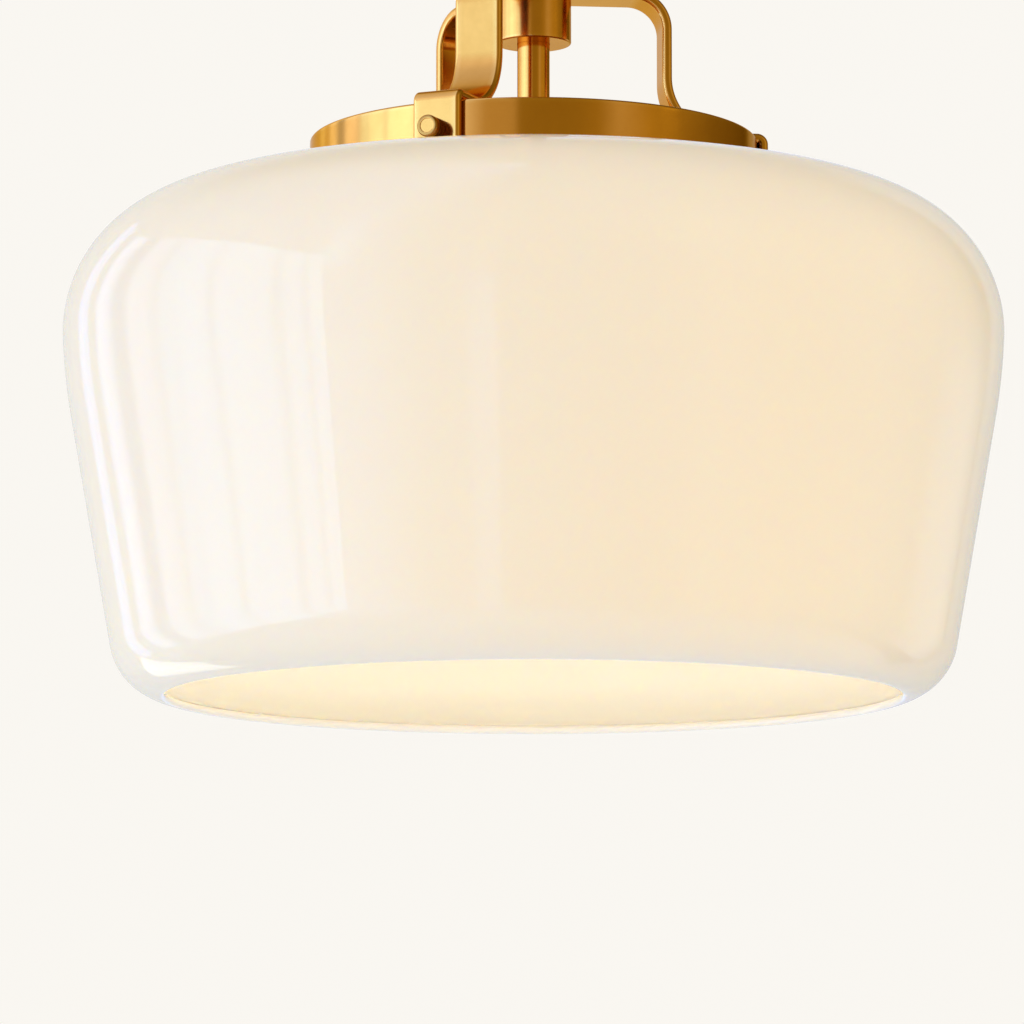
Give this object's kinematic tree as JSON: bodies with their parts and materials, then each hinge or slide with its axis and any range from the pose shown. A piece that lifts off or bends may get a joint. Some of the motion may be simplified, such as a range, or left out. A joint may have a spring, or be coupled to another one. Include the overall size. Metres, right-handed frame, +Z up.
{
  "type": "glass pendant light",
  "caption": "Ceiling pendant light with a wide opal glass shade, brass fitter held by strap arms, stem, swivel and round canopy.",
  "frame": {"origin": "middle of the ceiling box's two screw slots, on the ceiling plane", "axes": "+Z up out of the ceiling, +X along the crossbar and over the first strap arm; the lamp hangs along -Z"},
  "size_m": [0.4571, 0.4572, 0.7174],
  "materials": {
    "aged_brass": "satin, aged",
    "zinc_steel": "zinc plated",
    "green_screw": "green plated",
    "lead_black": "insulation",
    "lead_white": "insulation",
    "lead_green": "insulation",
    "wire_nut": "moulded",
    "gasket_rubber": "soft",
    "soft_tip": "nylon",
    "opal_glass": "glossy opal",
    "white_enamel": "gloss white",
    "porcelain": "glazed",
    "bright_brass": "bright",
    "bulb_cap": "bright",
    "bulb_glass": "frosted"
  },
  "bodies": {
    "ceiling_mount": {"crossbar": "zinc_steel", "crossbar_nipple": "zinc_steel", "nipple_locknuts": "zinc_steel", "ground_screw": "green_screw", "canopy_studs": "zinc_steel", "canopy": "aged_brass", "canopy_cap_nuts": "aged_brass", "line_lead": "lead_black", "neutral_lead": "lead_white", "ground_lead": "lead_green", "wire_nuts": "wire_nut", "swivel_washer": "aged_brass", "swivel_retainer": "zinc_steel"},
    "swivel": {"swivel_yoke": "aged_brass", "swivel_pin": "aged_brass"},
    "pendant": {"swivel_tongue": "aged_brass", "upper_stem": "aged_brass", "stem_nipple": "zinc_steel", "lower_stem": "aged_brass", "hub": "aged_brass", "hub_cover": "aged_brass", "arm_screws": "zinc_steel", "strap_arm_1": "aged_brass", "strap_arm_2": "aged_brass", "strap_arm_3": "aged_brass", "inner_stem": "aged_brass", "fitter_plate": "aged_brass", "fitter_nut": "zinc_steel", "shade_gasket": "gasket_rubber", "glass_shade": "opal_glass", "socket_pan": "white_enamel", "pan_nut": "zinc_steel", "socket_screws": "zinc_steel", "socket_1": "porcelain", "socket_2": "porcelain", "socket_3": "porcelain", "socket_shell_1": "bright_brass", "socket_shell_2": "bright_brass", "socket_shell_3": "bright_brass", "socket_contact_1": "bright_brass", "socket_contact_2": "bright_brass", "socket_contact_3": "bright_brass", "stem_leads": "lead_black", "socket_leads": "lead_black"},
    "soft_tip_1": {"soft_tip_1": "soft_tip"},
    "soft_tip_2": {"soft_tip_2": "soft_tip"},
    "soft_tip_3": {"soft_tip_3": "soft_tip"},
    "thumb_screw_1": {"thumb_screw_1": "aged_brass"},
    "thumb_screw_2": {"thumb_screw_2": "aged_brass"},
    "thumb_screw_3": {"thumb_screw_3": "aged_brass"},
    "bulb_1": {"bulb_base_1": "bulb_cap", "bulb_glass_1": "bulb_glass"},
    "bulb_2": {"bulb_base_2": "bulb_cap", "bulb_glass_2": "bulb_glass"},
    "bulb_3": {"bulb_base_3": "bulb_cap", "bulb_glass_3": "bulb_glass"}
  },
  "joints": [
    {"name": "swivel_turn", "type": "hinge", "parent": "ceiling_mount", "child": "swivel", "pos_m": [0, 0, -0.032], "axis": [0, 0, 1], "range_deg": [-175, 175]},
    {"name": "stem_tilt", "type": "hinge", "parent": "swivel", "child": "pendant", "pos_m": [0, 0, -0.048], "axis": [1, 0, 0], "range_deg": [-45, 45]},
    {"name": "soft_tip_1_travel", "type": "slide", "parent": "pendant", "child": "soft_tip_1", "axis": [1, 0, 0], "range_m": [0, 0.003]},
    {"name": "thumb_screw_1_turn", "type": "hinge", "parent": "soft_tip_1", "child": "thumb_screw_1", "pos_m": [0, 0, -0.4585], "axis": [1, 0, 0], "range_deg": [0, 1350]},
    {"name": "soft_tip_2_travel", "type": "slide", "parent": "pendant", "child": "soft_tip_2", "axis": [-0.5, 0.866, 0], "range_m": [0, 0.003]},
    {"name": "thumb_screw_2_turn", "type": "hinge", "parent": "soft_tip_2", "child": "thumb_screw_2", "pos_m": [0, 0, -0.4585], "axis": [-0.5, 0.866, 0], "range_deg": [0, 1350]},
    {"name": "soft_tip_3_travel", "type": "slide", "parent": "pendant", "child": "soft_tip_3", "axis": [-0.5, -0.866, 0], "range_m": [0, 0.003]},
    {"name": "thumb_screw_3_turn", "type": "hinge", "parent": "soft_tip_3", "child": "thumb_screw_3", "pos_m": [0, 0, -0.4585], "axis": [-0.5, -0.866, 0], "range_deg": [0, 1350]},
    {"name": "bulb_1_draw", "type": "slide", "parent": "pendant", "child": "bulb_1", "axis": [0, 0, -1], "range_m": [0, 0.028]},
    {"name": "bulb_2_draw", "type": "slide", "parent": "pendant", "child": "bulb_2", "axis": [0, 0, -1], "range_m": [0, 0.028]},
    {"name": "bulb_3_draw", "type": "slide", "parent": "pendant", "child": "bulb_3", "axis": [0, 0, -1], "range_m": [0, 0.028]}
  ],
  "couplings": [
    {"joint": "thumb_screw_1_turn", "follows": "soft_tip_1_travel", "rad_per_m": 7854},
    {"joint": "thumb_screw_2_turn", "follows": "soft_tip_2_travel", "rad_per_m": 7854},
    {"joint": "thumb_screw_3_turn", "follows": "soft_tip_3_travel", "rad_per_m": 7854}
  ]
}
